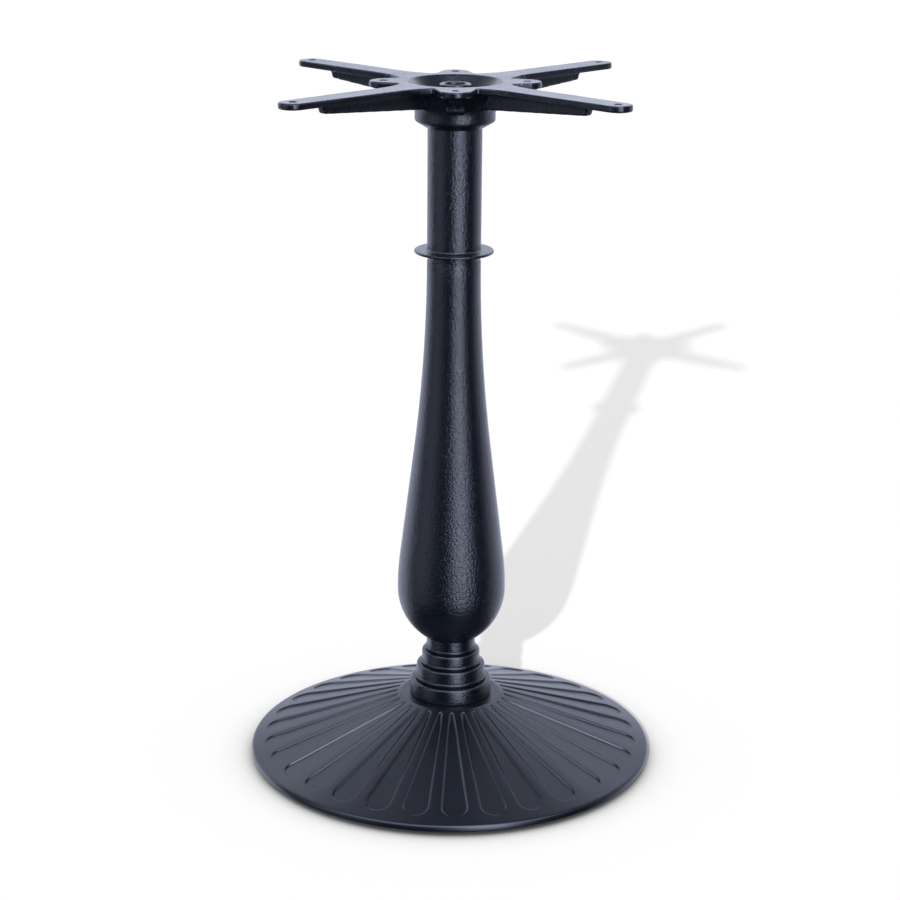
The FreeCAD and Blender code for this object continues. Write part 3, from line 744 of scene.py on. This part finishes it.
hole = post("hole", glide_place, GLIDE_HOLE_RADIUS, GLIDE_BOSS_BOTTOM - CUT_SPARE, GLIDE_HOLE_TOP)
combine(rib, hole, "DIFFERENCE")
combine(base, four_times(rib), "UNION")
base.rotation_euler.z = BASE_TURN
bpy.ops.object.select_all(action="DESELECT")
base.select_set(True)
bpy.context.view_layer.objects.active = base
bpy.ops.object.transform_apply(location=True, rotation=True, scale=True)
dress(base, "base_casting", CREASE_ANGLE)
apply_modifier(base, "WEIGHTED_NORMAL", keep_sharp=True, weight=NORMAL_WEIGHT)

# %% [markdown]
# The spider that carries the table top is one casting too: hub, bowl, four ribbed arms, four webbed lugs.
# Where its forms meet, the sand mould leaves soft edges and fillets.
# So it is built from plain overlapping forms that are melted into one skin afterwards.
# The first is the hub, turned from one outline: collar, flare, bowl and nut boss.

# %% Spider hub
SPIDER_TOP = 720.0
SPIDER_BOTTOM = 674.0
PLATE = 6.6
PLATE_UNDER = SPIDER_TOP - PLATE
COLLAR_RADIUS = 40.5
COLLAR_TOP = SPIDER_BOTTOM + 20.0
SOCKET_RADIUS = 27.9
SOCKET_TOP = SPIDER_BOTTOM + 16.0
FLARE_RADIUS = 53.0
TOP_RING_RADIUS = 60.0
BOWL_RADIUS = 47.5
BOWL_FLOOR_RADIUS = 30.0
BOWL_FLOOR = SPIDER_TOP - 18.0
NUT_BOSS_RADIUS = 16.2
NUT_BOSS_TOP = SPIDER_TOP - 2.5
NUT_WELL_RADIUS = 11.0
NUT_WELL_FLOOR = SPIDER_TOP - 20.0
COLLAR_LIP = 1.2
COLLAR_SLOPE = 6.8
COLLAR_FILLET = 18.0
BOWL_FILLET = 4.0
NUT_BOSS_FILLET = 2.0
HUB_STEPS = 96

hub = spun("spider", rounded([
    (SOCKET_RADIUS, SPIDER_BOTTOM, 0),
    (SOCKET_RADIUS + COLLAR_LIP, SPIDER_BOTTOM, 0),
    (COLLAR_RADIUS, SPIDER_BOTTOM + COLLAR_SLOPE, 0),
    (COLLAR_RADIUS, COLLAR_TOP, COLLAR_FILLET),
    (FLARE_RADIUS, PLATE_UNDER, 0),
    (TOP_RING_RADIUS, PLATE_UNDER, 0),
    (TOP_RING_RADIUS, SPIDER_TOP, 0),
    (BOWL_RADIUS, SPIDER_TOP, 0),
    (BOWL_FLOOR_RADIUS, BOWL_FLOOR, BOWL_FILLET),
    (NUT_BOSS_RADIUS, BOWL_FLOOR, NUT_BOSS_FILLET),
    (NUT_BOSS_RADIUS, NUT_BOSS_TOP, 0),
    (NUT_WELL_RADIUS, NUT_BOSS_TOP, 0),
    (NUT_WELL_RADIUS, NUT_WELL_FLOOR, 0),
    (ROD_HOLE_RADIUS, NUT_WELL_FLOOR, 0),
    (ROD_HOLE_RADIUS, SOCKET_TOP, 0),
    (SOCKET_RADIUS, SOCKET_TOP, 0),
]), HUB_STEPS)
print("spider hub faces:", len(hub.data.polygons))

# %% [markdown]
# One arm on its rib and one lug on its curved web are prisms that reach into the hub.
# Copied to the four quarters, they are joined with it.

# %% Spider arms and lugs
ARM_HOLE_CIRCLE = 213.5
LUG_HOLE_CIRCLE = 71.5
SCREW_HOLE_RADIUS = 3.5
ARM_TIP_RADIUS = 14.0
ARM_TIP_ROUND = 0.98 * ARM_TIP_RADIUS
ARM_ROOT = (53.0, 24.0)
ARM_NECK = (76.0, 15.0)
ARM_NECK_ROUND = 60.0
ARM_RIB_HALF = 5.0
ARM_RIB_REACH = 181.0
ARM_RIB_END = SPIDER_TOP - 15.0
ARM_RIB_SLOPE = 4.0
RIB_INTO_PLATE = 2.0
RIB_INTO_HUB = 1.0
LUG_STEPS = 6
WEB_STEPS = 8
LUG_ROOT = (53.0, 21.0)
LUG_SIDE = (77.0, 14.0)
LUG_REACH = 86.0
LUG_END_RADIUS = 15.4
WEB_HALF = 7.5
WEB_FOOT = COLLAR_RADIUS + 4.0


def mirrored_outline(corners):
    """Close half an outline of (along, across, rounding) corners over its middle line."""
    return corners + [(x, -y, r) for x, y, r in reversed(corners) if y != 0]


def flat_form(name, angle, corners, hole_circle):
    """A plate of the spider along one spoke, with its screw hole."""
    points = [on_spoke(angle, p.x, p.y, SPIDER_TOP) for p in rounded(mirrored_outline(corners))]
    piece = prism(name, points, Vector((0, 0, -PLATE * MM)))
    place = on_spoke(angle, hole_circle, 0, 0)
    hole = post("hole", place, SCREW_HOLE_RADIUS, PLATE_UNDER - CUT_SPARE, SPIDER_TOP + CUT_SPARE)
    combine(piece, hole, "DIFFERENCE")
    return piece


def upright_form(name, angle, half, side):
    """A rib or web: a side view of (along, height) corners, as thick as twice its half."""
    points = [on_spoke(angle, along, -half, height) for along, height in side]
    return prism(name, points, on_spoke(angle, 0, 2 * half, 0))


arm = flat_form("arm", DIAGONAL, [
    (*ARM_ROOT, 0),
    (*ARM_NECK, ARM_NECK_ROUND),
    (ARM_HOLE_CIRCLE + ARM_TIP_RADIUS, ARM_TIP_RADIUS, ARM_TIP_ROUND),
], ARM_HOLE_CIRCLE)
lug_turn = math.asin(LUG_SIDE[1] / LUG_END_RADIUS)
lug_end = arc((LUG_REACH - LUG_END_RADIUS, 0), LUG_END_RADIUS, lug_turn, 0, LUG_STEPS)
lug = flat_form("lug", 0.0, [(*LUG_ROOT, 0), *lug_end], LUG_HOLE_CIRCLE)
rib_top = PLATE_UNDER + RIB_INTO_PLATE
wall = [(BOWL_RADIUS + RIB_INTO_HUB, rib_top), (BOWL_FLOOR_RADIUS, COLLAR_TOP + RIB_INTO_HUB)]
arm_rib = upright_form("arm_rib", DIAGONAL, ARM_RIB_HALF, [
    *wall,
    (ARM_RIB_REACH - ARM_RIB_SLOPE, ARM_RIB_END),
    (ARM_RIB_REACH, rib_top),
])
web_rise = PLATE_UNDER - COLLAR_TOP
web_curve = arc((WEB_FOOT + web_rise, COLLAR_TOP), web_rise, math.pi, math.pi / 2, WEB_STEPS)
lug_web = upright_form("lug_web", 0.0, WEB_HALF, [
    *wall,
    *[point[:2] for point in web_curve],
    (WEB_FOOT + web_rise, rib_top),
])
quarter = four_times(join([arm, lug, arm_rib, lug_web]))
spider = join([hub, quarter])
print("spider forms joined:", len(spider.data.polygons), "faces")

# %% [markdown]
# A voxel remesh melts the overlapping forms into one skin,
# and a few passes of smoothing then round every edge by about a millimetre and a half.

# %% Melt the spider into one casting
SPIDER_VOXEL = 1.2 * MM
SMOOTH_SHARE = 0.5
SMOOTH_PASSES = 5
NO_CREASE = 180

apply_modifier(spider, "REMESH", mode="VOXEL", voxel_size=SPIDER_VOXEL)
apply_modifier(spider, "SMOOTH", factor=SMOOTH_SHARE, iterations=SMOOTH_PASSES)
dress(spider, "top_spider", NO_CREASE)

# %% [markdown]
# All three castings wear the same powder coat: blue-black, satin, baked over sand-cast iron.
# On the column and the spider the rough skin shows through as a hammered texture
# of two or three millimetres, while the plate is smoother.
# The lumps could be sculpted, but at this size a bump from noise is enough.
# Slow noise also varies the gloss a little, as sprayed powder does.

# %% Powder coat
COAT_COLOUR = (0.0020, 0.0030, 0.0065, 1.0)
COAT_LIGHTER = (0.0036, 0.0050, 0.0095, 1.0)
COAT_TINT = (0.95, 0.98, 1.0, 1.0)
ARM_CALM = (0.698, 0.710, 0.33)
TIER_CALM = (0.150, 0.128, 0.72)
LUMP_DETAIL = 3.0
GRAIN_SCALE = 2600.0
GRAIN_DETAIL = 1.0
GRAIN_HEIGHT = 0.00003
CLOUD_SCALE = 38.0
CLOUD_DETAIL = 3.0
CLOUD_RANGE = (0.3, 0.7)
COAT_IOR = 1.52


def noise(tree, place, scale, detail):
    """The value of a noise texture, with its scale per metre."""
    return add_node(tree, "TexNoise", {"Vector": place, "Scale": scale, "Detail": detail}).outputs["Fac"]


def bumped(tree, height, distance, strength=1.0, below=None):
    """The normal of a bump of a height value over a distance in metres, on top of the one below."""
    sockets = {"Height": height, "Strength": strength, "Distance": distance}
    if below is not None:
        sockets["Normal"] = below
    return add_node(tree, "Bump", sockets).outputs[0]


def powder_coat(name, lump_height, lump_scale, gloss, drift, calm=None):
    """Satin coat with lumps of a height and scale, in metres and per metre, and a drift of its gloss.

    From the first calm level to the second, in metres up the object,
    the lumps fade to the share given third.
    """
    material = bpy.data.materials.new(name)
    tree = clean_tree(material)
    place = add_node(tree, "TexCoord").outputs["Object"]
    lumps = noise(tree, place, lump_scale, LUMP_DETAIL)
    grain = noise(tree, place, GRAIN_SCALE, GRAIN_DETAIL)
    cloud = noise(tree, place, CLOUD_SCALE, CLOUD_DETAIL)
    strength = 1.0
    if calm:
        first, last, share = calm
        level = add_node(tree, "SeparateXYZ", {"Vector": place}).outputs["Z"]
        strength = ramp_between(tree, level, first, last, 1.0, share)
    skin = bumped(tree, lumps, lump_height, strength)
    coat = add_node(tree, "BsdfPrincipled", {
        "Base Color": blend(tree, cloud, COAT_COLOUR, COAT_LIGHTER, "RGBA"),
        "Roughness": ramp_between(tree, cloud, *CLOUD_RANGE, gloss - drift, gloss + drift),
        "IOR": COAT_IOR,
        "Specular Tint": COAT_TINT,
        "Normal": bumped(tree, grain, GRAIN_HEIGHT, below=skin),
    })
    add_node(tree, "OutputMaterial", {"Surface": coat.outputs[0]})
    return material


column_coat = powder_coat(
    "column_coat", lump_height=0.00068, lump_scale=520.0, gloss=0.17, drift=0.02, calm=TIER_CALM
)
spider_coat = powder_coat(
    "spider_coat", lump_height=0.00060, lump_scale=480.0, gloss=0.26, drift=0.03, calm=ARM_CALM
)
plate_coat = powder_coat("plate_coat", lump_height=0.00008, lump_scale=700.0, gloss=0.30, drift=0.01)
for piece, finish in ((column, column_coat), (spider, spider_coat), (base, plate_coat)):
    piece.data.materials.clear()
    piece.data.materials.append(finish)
print("coated:", column.name, spider.name, base.name)

# %% [markdown]
# The tie rod, nuts, washers and glide studs are zinc-plated steel, dull and a little cloudy.
# Their threads could be cut as real helices, but they sit in wells and under the plate,
# so a triangle wave along the axis, used as bump, shows the thread's pitch well enough.
# The wave texture turns by twenty radians for each unit of its scale, hence the wave factor.

# %% Plated steel
ZINC_COLOUR = (0.42, 0.42, 0.40, 1.0)
ZINC_CLOUD = (0.30, 0.30, 0.30, 1.0)
ZINC_GLOSS = (0.38, 0.52)
ZINC_CLOUD_SCALE = 160.0
ZINC_CLOUD_DETAIL = 4.0
ZINC_SKIN_SCALE = 1500.0
ZINC_SKIN_DETAIL = 2.0
ZINC_SKIN_HEIGHT = 0.00003
THREAD_PITCH = 0.0015
WAVE_FACTOR = 20


def plated_steel(name, threaded):
    """Dull zinc plating, with or without the bump of a thread."""
    material = bpy.data.materials.new(name)
    tree = clean_tree(material)
    place = add_node(tree, "TexCoord").outputs["Object"]
    cloud = noise(tree, place, ZINC_CLOUD_SCALE, ZINC_CLOUD_DETAIL)
    skin = noise(tree, place, ZINC_SKIN_SCALE, ZINC_SKIN_DETAIL)
    normal = bumped(tree, skin, ZINC_SKIN_HEIGHT)
    if threaded:
        wave = {"Vector": place, "Scale": 2 * math.pi / WAVE_FACTOR / THREAD_PITCH}
        turns = add_node(tree, "TexWave", wave, bands_direction="Z", wave_profile="TRI").outputs["Fac"]
        normal = bumped(tree, turns, THREAD_PITCH / 2, below=normal)
    steel = add_node(tree, "BsdfPrincipled", {
        "Base Color": blend(tree, cloud, ZINC_COLOUR, ZINC_CLOUD, "RGBA"),
        "Metallic": 1.0,
        "Roughness": ramp_between(tree, cloud, *CLOUD_RANGE, *ZINC_GLOSS),
        "Normal": normal,
    })
    add_node(tree, "OutputMaterial", {"Surface": steel.outputs[0]})
    return material


zinc = plated_steel("zinc_plate", False)
zinc_thread = plated_steel("zinc_thread", True)
finishes = {"tie_rod": zinc_thread}
for name in ("top_washer", "top_nut", "bottom_plate_washer", "bottom_nut"):
    finishes[name] = zinc
for number in range(1, QUARTERS + 1):
    finishes[f"glide_stud_{number}"] = zinc_thread
print("plated pieces:", len(finishes))

# %% [markdown]
# The glide pads are moulded from black nylon: matt, very slightly mottled, with the fine grain of the mould.

# %% Nylon pads
NYLON_COLOUR = (0.020, 0.020, 0.020, 1.0)
NYLON_WORN = (0.032, 0.032, 0.031, 1.0)
NYLON_GLOSS = (0.55, 0.68)
NYLON_IOR = 1.53
MOTTLE_SCALE = 220.0
MOTTLE_DETAIL = 3.0
MOULD_SCALE = 3000.0
MOULD_DETAIL = 1.0
MOULD_HEIGHT = 0.00004

nylon = bpy.data.materials.new("glide_nylon")
tree = clean_tree(nylon)
place = add_node(tree, "TexCoord").outputs["Object"]
mottle = noise(tree, place, MOTTLE_SCALE, MOTTLE_DETAIL)
mould = noise(tree, place, MOULD_SCALE, MOULD_DETAIL)
plastic = add_node(tree, "BsdfPrincipled", {
    "Base Color": blend(tree, mottle, NYLON_COLOUR, NYLON_WORN, "RGBA"),
    "Roughness": ramp_between(tree, mottle, *CLOUD_RANGE, *NYLON_GLOSS),
    "IOR": NYLON_IOR,
    "Normal": bumped(tree, mould, MOULD_HEIGHT),
})
add_node(tree, "OutputMaterial", {"Surface": plastic.outputs[0]})
for number in range(1, QUARTERS + 1):
    finishes[f"glide_pad_{number}"] = nylon
for name, finish in finishes.items():
    nodes[name].data.materials.clear()
    nodes[name].data.materials.append(finish)
print("finished solids:", len(finishes))
